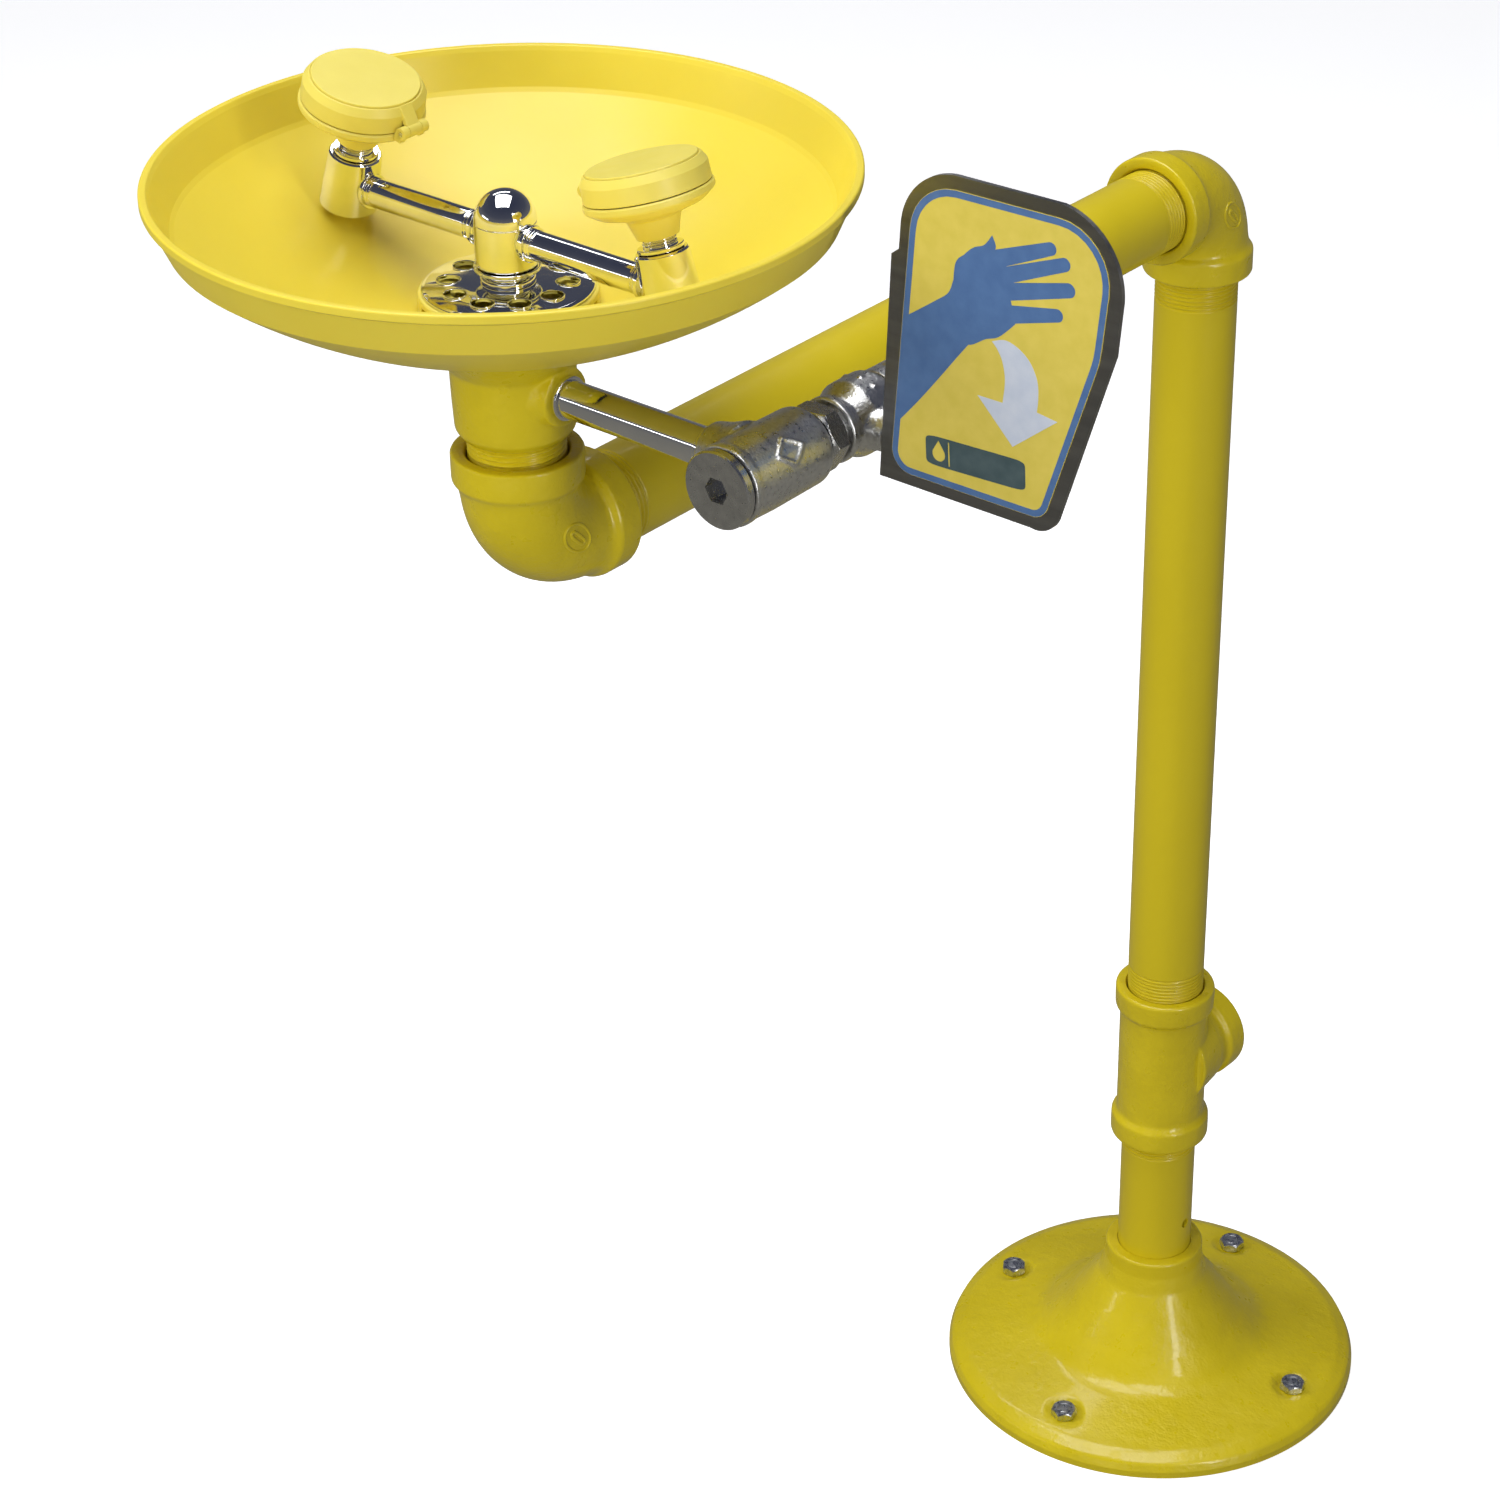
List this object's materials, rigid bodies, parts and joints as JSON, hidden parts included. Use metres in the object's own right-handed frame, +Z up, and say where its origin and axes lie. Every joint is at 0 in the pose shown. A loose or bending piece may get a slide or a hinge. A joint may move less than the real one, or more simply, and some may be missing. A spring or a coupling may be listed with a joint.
{
  "type": "pedestal eye and face wash",
  "caption": "Floor-mounted emergency eye and face wash: yellow pipe pedestal with a forward arm, open bowl, tilted twin spray heads with flip lids, strainer and ball valve with a push plate.",
  "frame": {"origin": "centre of the floor bolt circle, on the floor, under the pedestal pipe", "axes": "+Z up, the arm and bowl reach along -Y toward the user, the supply valve and push plate are on +X"},
  "size_m": [0.412, 0.7565, 0.9686],
  "materials": {
    "yellow_casting": "gloss yellow enamel over sand-cast iron, slight orange peel",
    "yellow_pipe": "gloss yellow enamel on drawn steel pipe",
    "yellow_bowl": "satin moulded yellow ABS",
    "yellow_head": "satin moulded yellow ABS, paler than the bowl",
    "bright_chrome": "polished chrome plate on brass",
    "cast_nickel": "nickel plate over a rough sand casting",
    "turned_nickel": "satin machined faces under plating",
    "stainless_sheet": "brushed stainless sheet",
    "label_print": "printed vinyl, yellow and blue, no lettering",
    "zinc_steel": "bright zinc plate",
    "pin_steel": "plain stainless pin",
    "ball_chrome": "hard chrome plated ball",
    "seat_ptfe": "natural PTFE",
    "black_rubber": "moulded nitrile rubber",
    "filter_foam": "open-cell reticulated foam",
    "grey_nylon": "moulded nylon"
  },
  "bodies": {
    "frame": {"floor_flange": "yellow_casting", "waste_tee": "yellow_casting", "top_elbow": "yellow_casting", "lower_elbow": "yellow_casting", "drain_body": "yellow_casting", "base_nipple": "yellow_pipe", "riser_pipe": "yellow_pipe", "arm_pipe": "yellow_pipe", "bowl": "yellow_bowl", "drain_clamp_ring": "yellow_head", "spray_dish_left": "yellow_head", "spray_dish_right": "yellow_head", "strainer_disc": "bright_chrome", "disc_lock_nut": "bright_chrome", "supply_riser": "bright_chrome", "spray_hub": "bright_chrome", "spray_arm_left": "bright_chrome", "spray_arm_right": "bright_chrome", "outlet_body_left": "bright_chrome", "outlet_body_right": "bright_chrome", "head_nipple_left": "bright_chrome", "head_nipple_right": "bright_chrome", "supply_pipe": "bright_chrome", "supply_collars": "bright_chrome", "strainer_body": "cast_nickel", "valve_body": "cast_nickel", "valve_end_piece": "cast_nickel", "strainer_plug": "turned_nickel", "hex_adapter": "turned_nickel", "packing_nut": "turned_nickel", "strainer_screen": "stainless_sheet", "flange_bolts": "zinc_steel", "lid_pin_left": "pin_steel", "lid_pin_right": "pin_steel", "ball_seat_front": "seat_ptfe", "ball_seat_rear": "seat_ptfe", "stem_packing": "seat_ptfe", "bowl_gasket_lower": "black_rubber", "bowl_gasket_upper": "black_rubber", "plug_seal_ring": "black_rubber", "flow_control_left": "black_rubber", "flow_control_right": "black_rubber", "flow_foam_left": "filter_foam", "flow_foam_right": "filter_foam", "spray_diffuser_left": "grey_nylon", "spray_diffuser_right": "grey_nylon"},
    "lid_left": {"lid_left": "yellow_head"},
    "lid_right": {"lid_right": "yellow_head"},
    "handle": {"push_plate": "stainless_sheet", "plate_label": "label_print", "valve_stem": "zinc_steel", "valve_ball": "ball_chrome", "handle_nut": "zinc_steel"}
  },
  "joints": [
    {"name": "push_plate_turn", "type": "hinge", "parent": "frame", "child": "handle", "pos_m": [0.131, -0.438, 0.813], "axis": [-0.9982, 0, 0.0593], "range_deg": [0, 90]},
    {"name": "lid_left_flip", "type": "hinge", "parent": "frame", "child": "lid_left", "pos_m": [-0.04902, -0.495, 0.90829], "axis": [0, 1, 0], "range_deg": [0, 110]},
    {"name": "lid_right_flip", "type": "hinge", "parent": "frame", "child": "lid_right", "pos_m": [0.04902, -0.495, 0.90829], "axis": [0, -1, 0], "range_deg": [0, 110]}
  ]
}
